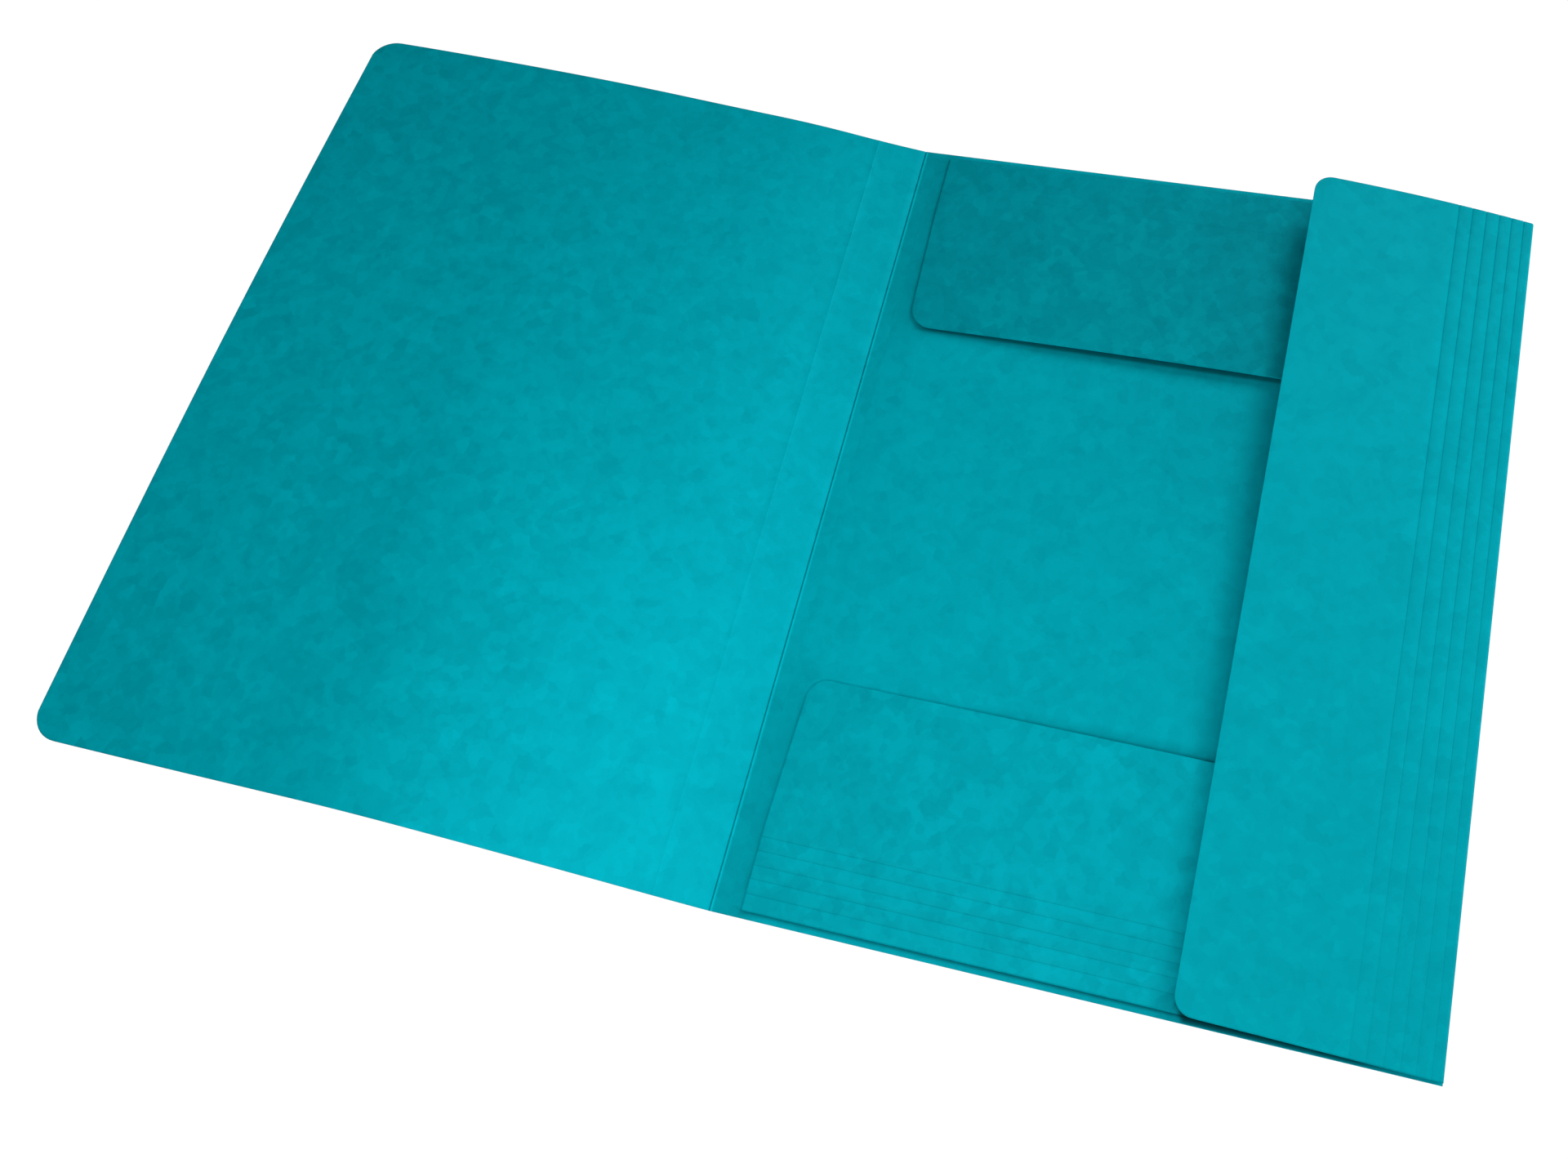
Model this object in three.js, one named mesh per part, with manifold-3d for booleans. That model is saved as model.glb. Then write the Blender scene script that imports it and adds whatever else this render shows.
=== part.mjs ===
// Three flap folder, lying open: a cover sheet creased at its spine, and a flap sheet glued in its back.
// Millimetres. X runs along the back panel, away from the spine. Y runs along the spine. Z is up.
// The origin is the middle of the spine fold, on the surface that the folder lies on.
import * as THREE from 'three';
import { mergeVertices } from 'three/addons/utils/BufferGeometryUtils.js';
import Module from 'manifold-3d';

// Card and finish
const cardThickness = 0.5;
const cardColour = 0x00a0ae;
const cardRoughness = 0.55;

// Cover sheet
const folderHeight = 320;
const backWidth = 239;
const spineWidth = 20;
const frontWidth = 220.5;
const coverCornerRadius = 10;
const coverEdgeBow = 2.3;
const spineFoldHeight = 0.35;
const frontFoldHeight = 0.2;

// Places across the raised cover where its slope is given, measured from the spine fold
const coverRampStart = 30;
const coverRampEnd = 65;
const coverShoulderStart = 105;
const coverShoulderEnd = 145;

// Slope of the raised cover in degrees, along its near and far ends
const coverSlopes = [
  { at: 0, near: 18.4, far: 8.6 },
  { at: coverRampStart, near: 24, far: 11.5 },
  { at: coverRampEnd, near: 22, far: 6.8 },
  { at: coverShoulderStart, near: 17.5, far: 7.5 },
  { at: coverShoulderEnd, near: 0, far: 5.6 },
  { at: spineWidth + frontWidth, near: 4, far: 3.1 },
];

// Flap sheet: its base is glued on the back panel, and three flaps fold in over it
const baseSpineInset = 6;
const endFoldInset = 2.5;
const sideFoldInset = 0.3;
const sideFlapEndInset = 0.7;
const sideFlapDepth = 84;
const sideFoldRadius = 1.2;
const topFlapDepth = 82.5;
const bottomFlapDepth = 84;
const endFoldRadius = 0.75;
const flapCornerRadius = 10;
const flapSpineInset = 11;
const flapSideInset = 8;
const topFlapTaper = 1.5;
const bottomFlapTaper = 4.5;
const shoulderEnd = 1;
const rootLength = 3;

// Slopes of the flaps in degrees, at a distance from their folds, along their two ends
const sideFlapCreasedEnd = 30;
const sideFlapSlopes = [
  { at: 0, near: 7, far: 12 },
  { at: sideFlapCreasedEnd, near: 5.5, far: 9.5 },
  { at: sideFlapDepth, near: 3, far: 5.5 },
];
const topFlapSlopes = [
  { at: 0, near: 0, far: 0.6 },
  { at: topFlapDepth, near: 0, far: 0.6 },
];
const bottomFlapSlopes = [
  { at: 0, near: 0.3, far: 0.6 },
  { at: bottomFlapDepth, near: 0.1, far: 0.4 },
];
const topFlapBow = 1;
const bottomFlapBow = 1.2;

// Expansion creases beside each fold. A crease is a ridge on the side that the fold closes over, so on a
// folded flap it shows from above as a shallow groove.
const creasePitch = 5.1;
const creaseCount = 5;
const creaseWidth = 1.4;
const creaseHeight = 0.25;

// Facets
const facetStep = 9;
const foldSteps = 8;
const cornerSteps = 5;
const rowsAcross = 8;

const radians = THREE.MathUtils.degToRad;
const lerp = THREE.MathUtils.lerp;

// A curve in a plane made of arcs: each leg turns evenly from one slope to the next
function arcCurve(legs) {
  const starts = [];
  let along = 0;
  let u = 0;
  let z = 0;
  for (const leg of legs) {
    const start = { along, u, z, ...leg };
    starts.push(start);
    const end = pointOnLeg(start, leg.length);
    along += leg.length;
    u = end.u;
    z = end.z;
  }
  return (s) => {
    const leg = starts.findLast((start) => s >= start.along) ?? starts[0];
    return pointOnLeg(leg, s - leg.along);
  };
}

function pointOnLeg(leg, distance) {
  const turn = (leg.to - leg.from) / leg.length;
  const slope = leg.from + turn * distance;
  if (Math.abs(turn) < 1e-9) {
    const u = leg.u + Math.cos(slope) * distance;
    return { u, z: leg.z + Math.sin(slope) * distance, slope };
  }
  const u = leg.u + (Math.sin(slope) - Math.sin(leg.from)) / turn;
  return { u, z: leg.z - (Math.cos(slope) - Math.cos(leg.from)) / turn, slope };
}

// Legs between the rows of a table of slopes, for one of its two ends
function legsFrom(slopes, end) {
  return slopes.slice(1).map((row, i) => ({
    length: row.at - slopes[i].at,
    from: radians(slopes[i][end]),
    to: radians(row[end]),
  }));
}

// A tight fold: half a turn on the given radius, then back along the table of slopes
function foldedLegs(radius, slopes, end) {
  const last = Math.PI - radians(slopes[0][end]);
  const fold = { length: radius * last, from: 0, to: last };
  const flap = legsFrom(slopes, end).map(({ length, from, to }) => ({
    length,
    from: Math.PI - from,
    to: Math.PI - to,
  }));
  return [fold, ...flap];
}

// Blends the curves of the two ends of a sheet, with a bow that is highest midway between them
function blendCurves(nearCurve, farCurve, bowAt = () => 0) {
  return (s, share) => {
    const near = nearCurve(s);
    const far = farCurve(s);
    const bow = bowAt(s) * Math.sin(Math.PI * share);
    return {
      u: lerp(near.u, far.u, share),
      z: lerp(near.z, far.z, share) + bow,
      slope: lerp(near.slope, far.slope, share),
    };
  };
}

// Height of the pressed ridges at a distance along the sheet
function ridgeHeight(ridges, s) {
  for (const ridge of ridges) {
    const share = Math.abs(s - ridge.at) / (creaseWidth / 2);
    if (share < 1) return ridge.height * (1 - share);
  }
  return 0;
}

// Distances along a sheet at which it gets a row of facets, in order and without doubles
function stationList(marks, ridges, from, to) {
  const ridgeMarks = ridges.flatMap(({ at }) => [at - creaseWidth / 2, at, at + creaseWidth / 2]);
  const fixed = [from, to, ...marks, ...ridgeMarks].filter((s) => s >= from && s <= to);
  fixed.sort((a, b) => a - b);
  const stations = [fixed[0]];
  for (const next of fixed.slice(1)) {
    const last = stations.at(-1);
    const gap = next - last;
    if (gap < 0.05) continue;
    const parts = Math.ceil(gap / facetStep);
    for (let i = 1; i <= parts; i++) stations.push(last + (gap * i) / parts);
  }
  return stations;
}

// Marks round a corner of the free edge, so that its arc gets even facets
function cornerMarks(end, radius) {
  return Array.from({ length: cornerSteps + 1 }, (_, i) => {
    return end - radius + radius * Math.sin((i / cornerSteps) * Math.PI / 2);
  });
}

// How far a rounded corner draws the side edge in, near the free edge
function cornerInset(s, end, radius) {
  const past = Math.max(0, s - (end - radius));
  return radius - Math.sqrt(Math.max(0, radius * radius - past * past));
}

// A closed board: card of even thickness about a middle surface, between its two side edges
function boardGeometry({ stations, edges, place }) {
  const positions = [];
  const index = [];
  const columns = rowsAcross + 1;
  const vertex = (i, j, side) => (i * columns + j) * 2 + side;
  for (const s of stations) {
    const [first, last] = edges(s);
    for (let j = 0; j < columns; j++) {
      const { point, normal } = place(s, lerp(first, last, j / rowsAcross));
      for (const side of [-1, 1]) {
        positions.push(...point.clone().addScaledVector(normal, (side * cardThickness) / 2).toArray());
      }
    }
  }
  const quad = (a, b, c, d) => index.push(a, b, c, a, c, d);
  const end = stations.length - 1;
  for (let i = 0; i < end; i++) {
    for (let j = 0; j < rowsAcross; j++) {
      quad(vertex(i, j, 1), vertex(i + 1, j, 1), vertex(i + 1, j + 1, 1), vertex(i, j + 1, 1));
      quad(vertex(i, j, 0), vertex(i, j + 1, 0), vertex(i + 1, j + 1, 0), vertex(i + 1, j, 0));
    }
    quad(vertex(i, 0, 0), vertex(i + 1, 0, 0), vertex(i + 1, 0, 1), vertex(i, 0, 1));
    quad(vertex(i, rowsAcross, 0), vertex(i, rowsAcross, 1), vertex(i + 1, rowsAcross, 1),
      vertex(i + 1, rowsAcross, 0));
  }
  for (let j = 0; j < rowsAcross; j++) {
    quad(vertex(0, j, 0), vertex(0, j, 1), vertex(0, j + 1, 1), vertex(0, j + 1, 0));
    quad(vertex(end, j, 0), vertex(end, j + 1, 0), vertex(end, j + 1, 1), vertex(end, j, 1));
  }
  const geometry = new THREE.BufferGeometry();
  geometry.setAttribute('position', new THREE.Float32BufferAttribute(positions, 3));
  geometry.setIndex(index);
  return geometry;
}

// Cover sheet: the flat back panel, the spine strip and the raised front cover are one piece of card
function coverSheet() {
  const length = spineWidth + frontWidth;
  const bowAt = (s) => coverEdgeBow * (s / length) ** 2;
  const raised = blendCurves(
    arcCurve(legsFrom(coverSlopes, 'near')), arcCurve(legsFrom(coverSlopes, 'far')), bowAt);
  const ridges = [{ at: 0, height: spineFoldHeight }, { at: spineWidth, height: frontFoldHeight }];
  const marks = [...coverSlopes.map((row) => row.at), ...cornerMarks(length, coverCornerRadius)];
  return boardGeometry({
    stations: stationList(marks, ridges, -backWidth, length),
    edges: (s) => {
      const inset = cornerInset(s, length, coverCornerRadius);
      return [folderHeight / 2 - inset, inset - folderHeight / 2];
    },
    place: (s, y) => {
      const { u, z, slope } = s < 0 ? { u: s, z: 0, slope: 0 } : raised(s, y / folderHeight + 0.5);
      const normal = new THREE.Vector3(Math.sin(slope), 0, Math.cos(slope));
      const point = new THREE.Vector3(-u, y, cardThickness / 2 + z);
      return { point: point.addScaledVector(normal, ridgeHeight(ridges, s)), normal };
    },
  });
}

// Ridges beside a fold whose bend ends at the given distance along the sheet
function expansionCreases(bendEnd) {
  return Array.from({ length: creaseCount }, (_, i) => {
    return { at: bendEnd + creasePitch * (i + 1), height: creaseHeight };
  });
}

const baseMiddle = 1.5 * cardThickness;
const sideFoldStart = backWidth - sideFoldInset - sideFoldRadius - cardThickness / 2;
const endFoldStart = folderHeight / 2 - endFoldInset - endFoldRadius - cardThickness / 2;

// Base panel and side flap: one run of card from beside the spine, round the side fold and back
function baseAndSideFlap() {
  const baseLength = sideFoldStart - baseSpineInset;
  const curveFor = (end) => arcCurve([
    { length: baseLength, from: 0, to: 0 },
    ...foldedLegs(sideFoldRadius, sideFlapSlopes, end),
  ]);
  const bend = sideFoldRadius * Math.PI;
  const length = baseLength + bend - sideFoldRadius + sideFlapDepth - cardThickness / 2;
  const curve = blendCurves(curveFor('near'), curveFor('far'));
  const ridges = expansionCreases(baseLength + bend);
  const widenFrom = baseLength - flapSideInset / 2;
  const widenTo = baseLength - shoulderEnd;
  const marks = [
    ...Array.from({ length: foldSteps + 1 }, (_, i) => baseLength + (bend * i) / foldSteps),
    widenFrom, widenTo,
    ...cornerMarks(length, flapCornerRadius),
  ];
  const widen = (s) => THREE.MathUtils.clamp((s - widenFrom) / (widenTo - widenFrom), 0, 1);
  return boardGeometry({
    stations: stationList(marks, ridges, 0, length),
    edges: (s) => {
      const full = lerp(endFoldStart, folderHeight / 2 - sideFlapEndInset, widen(s));
      const half = full - cornerInset(s, length, flapCornerRadius);
      return [-half, half];
    },
    place: (s, y) => {
      const { u, z, slope } = curve(s, y / folderHeight + 0.5);
      const normal = new THREE.Vector3(-Math.sin(slope), 0, Math.cos(slope));
      const point = new THREE.Vector3(baseSpineInset + u, y, baseMiddle + z);
      return { point: point.addScaledVector(normal, ridgeHeight(ridges, s)), normal };
    },
  });
}

// Top or bottom flap with a strip of base: it runs up to the fold, round it and back over the base
function endFlap({ depth, taper, slopes, bow, direction }) {
  const spineEnd = flapSpineInset;
  const sideEnd = backWidth - flapSideInset;
  const curveFor = (end) => arcCurve([
    { length: rootLength, from: 0, to: 0 },
    ...foldedLegs(endFoldRadius, slopes, end),
  ]);
  const bend = endFoldRadius * Math.PI;
  const length = rootLength + bend - endFoldRadius + depth - cardThickness / 2;
  const bowAt = (s) => bow * Math.max(0, (s - rootLength - bend) / depth);
  const curve = blendCurves(curveFor('near'), curveFor('far'), bowAt);
  const ridges = expansionCreases(rootLength + bend);
  const creased = rootLength + bend + creasePitch * (creaseCount + 0.5);
  const marks = [
    rootLength, creased,
    ...Array.from({ length: foldSteps + 1 }, (_, i) => rootLength + (bend * i) / foldSteps),
    ...cornerMarks(length, flapCornerRadius),
  ];
  return boardGeometry({
    stations: stationList(marks, ridges, 0, length),
    edges: (s) => {
      const drawnIn = taper * Math.max(0, (s - creased) / (length - creased));
      const inset = drawnIn + cornerInset(s, length, flapCornerRadius);
      return direction > 0 ? [sideEnd - inset, spineEnd + inset] : [spineEnd + inset, sideEnd - inset];
    },
    place: (s, x) => {
      const { u, z, slope } = curve(s, (x - spineEnd) / (sideEnd - spineEnd));
      const normal = new THREE.Vector3(0, -Math.sin(slope) * direction, Math.cos(slope));
      const y = direction * (endFoldStart - rootLength + u);
      const point = new THREE.Vector3(x, y, baseMiddle + z);
      return { point: point.addScaledVector(normal, ridgeHeight(ridges, s)), normal };
    },
  });
}

// Joining of closed boards into one solid
const wasm = await Module();
wasm.setup();

function solidFrom(geometry) {
  const bare = geometry.clone();
  bare.deleteAttribute('normal');
  bare.deleteAttribute('uv');
  const merged = mergeVertices(bare);
  return new wasm.Manifold(new wasm.Mesh({
    numProp: 3,
    vertProperties: merged.getAttribute('position').array,
    triVerts: Uint32Array.from(merged.getIndex().array),
  }));
}

function geometryFrom(solid) {
  const mesh = solid.getMesh();
  const geometry = new THREE.BufferGeometry();
  geometry.setAttribute('position', new THREE.Float32BufferAttribute(mesh.vertProperties, 3));
  geometry.setIndex(Array.from(mesh.triVerts));
  return geometry;
}

// Flap sheet: base panel, side flap, top flap and bottom flap are one piece of card
function flapSheet() {
  const topFlap = endFlap({
    depth: topFlapDepth, taper: topFlapTaper, slopes: topFlapSlopes, bow: topFlapBow, direction: 1,
  });
  const bottomFlap = endFlap({
    depth: bottomFlapDepth, taper: bottomFlapTaper, slopes: bottomFlapSlopes, bow: bottomFlapBow,
    direction: -1,
  });
  return geometryFrom([topFlap, bottomFlap].map(solidFrom)
    .reduce((sheet, flap) => sheet.add(flap), solidFrom(baseAndSideFlap())));
}

function cardMesh(name, geometry) {
  geometry.computeVertexNormals();
  const material = new THREE.MeshStandardMaterial({
    name: 'pressed card', color: cardColour, roughness: cardRoughness, metalness: 0,
  });
  const mesh = new THREE.Mesh(geometry, material);
  mesh.name = name;
  return mesh;
}

const folder = new THREE.Group();
folder.add(cardMesh('cover_sheet', coverSheet()), cardMesh('flap_sheet', flapSheet()));

export default folder;
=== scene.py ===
"""A three flap folder of mottled pressed card, lying open. Its two sheets are modelled finely, round the
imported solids."""
import math
import bpy
from mathutils import Matrix, Vector


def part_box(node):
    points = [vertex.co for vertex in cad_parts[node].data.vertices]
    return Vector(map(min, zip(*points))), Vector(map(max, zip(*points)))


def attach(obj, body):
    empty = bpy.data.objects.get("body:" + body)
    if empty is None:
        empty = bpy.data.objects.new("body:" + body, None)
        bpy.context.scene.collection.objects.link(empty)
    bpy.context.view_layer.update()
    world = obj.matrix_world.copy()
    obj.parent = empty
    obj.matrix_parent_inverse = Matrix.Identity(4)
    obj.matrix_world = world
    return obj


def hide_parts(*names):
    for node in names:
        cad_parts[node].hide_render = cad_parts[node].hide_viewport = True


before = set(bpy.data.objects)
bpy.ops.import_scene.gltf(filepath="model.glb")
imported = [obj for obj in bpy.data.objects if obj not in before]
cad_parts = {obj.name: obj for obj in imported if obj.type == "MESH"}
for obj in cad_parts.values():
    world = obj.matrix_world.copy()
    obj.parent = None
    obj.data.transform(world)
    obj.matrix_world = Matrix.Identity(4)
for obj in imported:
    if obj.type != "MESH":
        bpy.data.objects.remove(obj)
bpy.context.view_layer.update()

MM = 0.001

# Sizes in millimetres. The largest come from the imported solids, and the rest are the folder's own.
COVER_LOW, COVER_HIGH = (Vector(corner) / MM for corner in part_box("cover_sheet"))
FLAP_LOW, FLAP_HIGH = (Vector(corner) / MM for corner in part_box("flap_sheet"))
FOLDER_HEIGHT = COVER_HIGH.y - COVER_LOW.y
BACK_WIDTH = COVER_HIGH.x
CARD = 0.5
SPINE_WIDTH = 20
COVER_LENGTH = 240.5
COVER_EDGE_BOW = 2.3
CORNER_RADIUS = 10
BASE_SPINE_INSET = FLAP_LOW.x
SIDE_FOLD_EDGE = FLAP_HIGH.x
SIDE_FLAP_HALF = (FLAP_HIGH.y - FLAP_LOW.y) / 2
END_FOLD_INSET = 2.5
SIDE_FOLD_RADIUS = 1.2
END_FOLD_RADIUS = 0.45
SIDE_FLAP_DEPTH = 84
TOP_FLAP_DEPTH = 82.5
BOTTOM_FLAP_DEPTH = 84
FLAP_SPINE_INSET = 11
FLAP_SIDE_INSET = 8
TOP_FLAP_TAPER = 1.5
BOTTOM_FLAP_TAPER = 2.3
SIDE_CORNER_RADIUS = 6.5
SIDE_FLAP_NEAR_INSET = 0.9
TOP_CORNER_RADIUS = 9
BOTTOM_CORNER_RADIUS = 7
FEATHER = 8.0
EDGE_SOFTENING = 0.12

# Lines pressed in the card: (distance, height, width, tone of the card in the line). The tone is
# painted: below 1 it is painted shade in a crease, and above 1 a painted highlight on a ridge. On the
# flaps the distance starts where the fold's bend ends, and on the cover it starts at the spine.
SPINE_FOLD = [(-0.55, 0.16, 0.9, 1.3), (0.15, -0.22, 0.5, 0.4)]
FRONT_FOLD = [(SPINE_WIDTH, 0.1, 0.7, 1.05)]
SIDE_CREASES = [(at, 0.17, 0.7, 0.84) for at in (2.65, 7.4, 12.15, 17.25, 22.6, 27.9)]
TOP_CREASES = [(17.0, 0.05, 0.8, 0.96)]
BOTTOM_CREASES = [(at, 0.1, 0.6, 0.84) for at in (5.1, 10.2, 14.9, 19.9, 24.8)]

# Tone is a factor on the card's colour, and mottle is the contrast of its flakes. The tones below are
# painted
# light and shade: below 1 painted shade, above 1 painted light. The cut edges' tone is also their paler
# card.
# Painted shade that darkens the whole top flap
TOP_FLAP_PAINTED_SHADE = 0.83
# Painted shade in the strip between the spine's fold and the flaps, deepest beside the end flaps
BESIDE_SPINE_PAINTED_SHADES = (0.97, 0.98)
BESIDE_TOP_FLAP_PAINTED_SHADES = (0.86, 0.76)
BESIDE_BOTTOM_FLAP_PAINTED_SHADES = (0.86, 0.78)
# Painted shade on the end flaps towards their spine ends
FLAP_SPINE_SIDE_PAINTED_SHADE = 0.94
# Painted light that lifts the side flap's shadow on the card left of it
BESIDE_SIDE_FLAP_PAINTED_LIGHT = 1.07
# Painted shadow on the back panel just past the bottom flap's free edge
PAST_BOTTOM_FLAP_PAINTED_SHADOW = 0.72
# Painted light on the feathered edge, against the shade its slope gets
FEATHER_PAINTED_LIGHT = 1.05
# Painted shadow on the back panel under the top flap's free edge
UNDER_TOP_FLAP_PAINTED_SHADOW = 0.38
# Painted shade, the side flap a little darker towards its near end
SIDE_FLAP_NEAR_PAINTED_SHADE = 0.95
# Painted shade on the card under the side flap's near end
UNDER_SIDE_FLAP_PAINTED_SHADE = 0.2
# Painted shadow on the back panel in front of the near fold
UNDER_FOLD_PAINTED_SHADOW = 0.3
# Cut edges are lighter: partly their paler cut card, partly a painted highlight
CUT_EDGE_PALENESS_AND_HIGHLIGHT = 1.5
# Painted light and shade along the cover: lighter in its first stretch from the spine and darker further
# out, with more of each along its near half
COVER_PAINTED_LIGHT_AND_SHADE = [
    (-0.5, 1), (0, 1.08), (25, 1.07), (60, 1), (90, 0.96), (150, 0.97), (190, 1), (COVER_LENGTH, 1),
]
COVER_NEAR_PAINTED_LIGHT_AND_SHADE = [
    (0, 1), (20, 1.03), (60, 1.07), (90, 1.03), (130, 0.93), (180, 0.97), (COVER_LENGTH, 0.97),
]
COVER_MOTTLE = [(-BACK_WIDTH, 0.75), (0, 0.7), (SPINE_WIDTH, 0.8), (COVER_LENGTH, 1.15)]
BASE_MOTTLE = 0.75
SIDE_FLAP_MOTTLE = 0.65
TOP_FLAP_MOTTLE = 1.2
BOTTOM_FLAP_MOTTLE = 1.0

# Slopes in degrees at distances from a fold: (distance, near end, far end). The near end of the top and
# bottom flaps is the one at the spine.
COVER_SLOPES = [
    (0, 18.4, 8.6), (30, 24, 11.5), (65, 22, 6.8), (105, 17.5, 7.5), (145, 0, 5.6),
    (COVER_LENGTH, 4, 3.1),
]
SIDE_FLAP_SLOPES = [(0, 7, 12), (30, 5.5, 9.5), (SIDE_FLAP_DEPTH, 3, 5.5)]
TOP_FLAP_SLOPES = [(0, 0.2, 0.8), (TOP_FLAP_DEPTH, 0.2, 0.8)]
BOTTOM_FLAP_SLOPES = [(0, 0.3, 0.5), (BOTTOM_FLAP_DEPTH, 0.3, 0.5)]
TOP_FLAP_BOW = 1.9
BOTTOM_FLAP_BOW = 1.3

# How far the free edge stands from its even place towards the back, at its spine end and its side end
TOP_FLAP_LEAN = (0.9, 0)
BOTTOM_FLAP_LEAN = (1.0, -2.0)

BASE_MIDDLE = 1.5 * CARD
CREASED_BAND = 28
WIDENING_MARGIN = 1
SIDE_FOLD_START = SIDE_FOLD_EDGE - SIDE_FOLD_RADIUS - CARD / 2
SIDE_FLAP_FREE_EDGE = SIDE_FOLD_EDGE - SIDE_FLAP_DEPTH
END_FOLD_START = FOLDER_HEIGHT / 2 - END_FOLD_INSET - END_FOLD_RADIUS - CARD / 2
TOP_FLAP_FREE_EDGE = FOLDER_HEIGHT / 2 - END_FOLD_INSET - TOP_FLAP_DEPTH
BOTTOM_FLAP_FREE_EDGE = BOTTOM_FLAP_DEPTH + END_FOLD_INSET - FOLDER_HEIGHT / 2

# Where a tone comes in or fades, as (start, end). X is the distance from the spine's fold towards the side
# flap's fold. Y is the distance from the folder's middle towards the back, or either way beside the end
# flaps. NEAR is the distance from the folder's near edge.
SPINE_STRIP_START_X = (0.6, 1.4)
SPINE_STRIP_DEEPENS_X = (6, FLAP_SPINE_INSET)
SPINE_STRIP_END_X = (FLAP_SPINE_INSET, FLAP_SPINE_INSET + 7)
BESIDE_END_FLAP_Y = (60, 90)
BESIDE_SIDE_FLAP_X = (95, 140)
BESIDE_SIDE_FLAP_Y = (60, 0)
END_FLAP_TONE_X = (25, 90)
SIDE_SHADOW_END_X = (SIDE_FOLD_EDGE - 26, SIDE_FOLD_EDGE - 10)
SIDE_SHADOW_START_NEAR = (0.2, 0.8)
SIDE_SHADOW_END_NEAR = (5, 9)
COVER_NEAR_TONE_Y = (0, -110)
UNDER_FOLD_END_NEAR = (4, 10)
CREASES_CLEAR_Y = (-FOLDER_HEIGHT * 0.4, FOLDER_HEIGHT * 0.3)
SIDE_FLAP_TONE_Y = (60, -100)
SOFT_TOP_SHADOW_Y = (TOP_FLAP_FREE_EDGE - 5, TOP_FLAP_FREE_EDGE - 0.3)
TOP_SHADOW_Y = (TOP_FLAP_FREE_EDGE - 0.3, TOP_FLAP_FREE_EDGE + 0.9)
BOTTOM_SHADOW_Y = (BOTTOM_FLAP_FREE_EDGE + 0.6, BOTTOM_FLAP_FREE_EDGE + 5)

# The same along the base panel, from its feathered edge
TOP_SHADOW_ALONG = (8, 15)
BOTTOM_SHADOW_ALONG = (10, 110)
FEATHER_TONE_ALONG = (FEATHER - 2, FEATHER)

# The shadow under the side flap starts further in where the flap's near corner is round
CORNER_SHADOW_INSETS = (3.5, 0.2)
CORNER_SHADOW_NEAR = (1, SIDE_CORNER_RADIUS)
CORNER_SHADOW_SOFTNESS = 1.5

# How far in front of the near fold its shadow starts, at the spine and at the side flap
UNDER_FOLD_GAPS = (0.4, 1.0)

# Shares of the top flap's whole shadow, of a crease's height and of the card's thickness
SOFT_TOP_SHADOW_SHARE = 0.2
NEAR_CREASE_SHARE = 0.3
FEATHER_THICKNESS_SHARE = 0.06

# The card's waves: their heights, and how far from its fold the cover or a flap gets them in full, in
# millimetres or as a share of the flap's depth
SLOW_WAVE = 0.05
QUICK_WAVE = 0.02
COVER_WAVES_FROM_SPINE = 30
FLAP_WAVES_SHARE = 1 / 3

# Fineness of the meshes
STATION_STEP = 3.0
ROWS = 64
EDGE_MARGINS = (EDGE_SOFTENING, 0.6, 1.4, 2.2, 2.9, 3.7)
FOLD_STEPS = 14
CORNER_STEPS = 10
LINE_SHARES = (-1, -0.6, -0.25, 0, 0.25, 0.6, 1)
SMALLEST_STEP = 0.03
BESIDE_SPINE_MARKS = [-0.5, -1.5]

# An arc that turns less than this, in radians a millimetre, is taken as straight
STRAIGHT = 1e-9

# Points across a sheet that draw the edge of a shadow finely
CORNER_SHADOW_MARKS = [SIDE_FLAP_FREE_EDGE + past for past in (0.2, 1, 1.8, 2.6, 3.5, 4.3, 5.1)]
TOP_SHADOW_MARKS = [TOP_FLAP_FREE_EDGE + past for past in (-5, -2.8, -0.3, 0.9)]
BOTTOM_SHADOW_MARKS = [BOTTOM_FLAP_FREE_EDGE + past for past in (0.6, 2.8, 5)]


def lerp(a, b, share):
    return a + (b - a) * share


def ramp(value, start, end):
    """Nought before the start, one past the end, and even between them. The start may be the greater."""
    return min(1.0, max(0.0, (value - start) / (end - start)))


def along(table, s):
    """A value read from a table of (distance, value)."""
    for (a, first), (b, last) in zip(table, table[1:]):
        if s <= b:
            return lerp(first, last, ramp(s, a, b))
    return table[-1][1]


def point_on_leg(leg, distance):
    turn = (leg["to"] - leg["from"]) / leg["length"]
    slope = leg["from"] + turn * distance
    if abs(turn) < STRAIGHT:
        return leg["u"] + math.cos(slope) * distance, leg["z"] + math.sin(slope) * distance, slope
    u = leg["u"] + (math.sin(slope) - math.sin(leg["from"])) / turn
    return u, leg["z"] - (math.cos(slope) - math.cos(leg["from"])) / turn, slope


def arc_curve(legs):
    """A plane curve of arcs. Each leg is (length, first slope, last slope), in radians."""
    placed, reached, u, z = [], 0.0, 0.0, 0.0
    for length, first, last in legs:
        leg = {"start": reached, "u": u, "z": z, "length": length, "from": first, "to": last}
        placed.append(leg)
        u, z, _ = point_on_leg(leg, length)
        reached += length

    def at(s):
        leg = next((leg for leg in reversed(placed) if s >= leg["start"]), placed[0])
        return point_on_leg(leg, s - leg["start"])

    return at


def legs_from(slopes, end):
    """The legs of a sheet's near or far end, from its table of slopes."""
    column = {"near": 1, "far": 2}[end]
    return [
        (b[0] - a[0], math.radians(a[column]), math.radians(b[column]))
        for a, b in zip(slopes, slopes[1:])
    ]


def folded_legs(radius, slopes, end):
    """A tight fold of half a turn, then back along the slopes."""
    legs = legs_from(slopes, end)
    last = math.pi - legs[0][1]
    return [(radius * last, 0, last)] + [(length, math.pi - a, math.pi - b) for length, a, b in legs]


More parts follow.
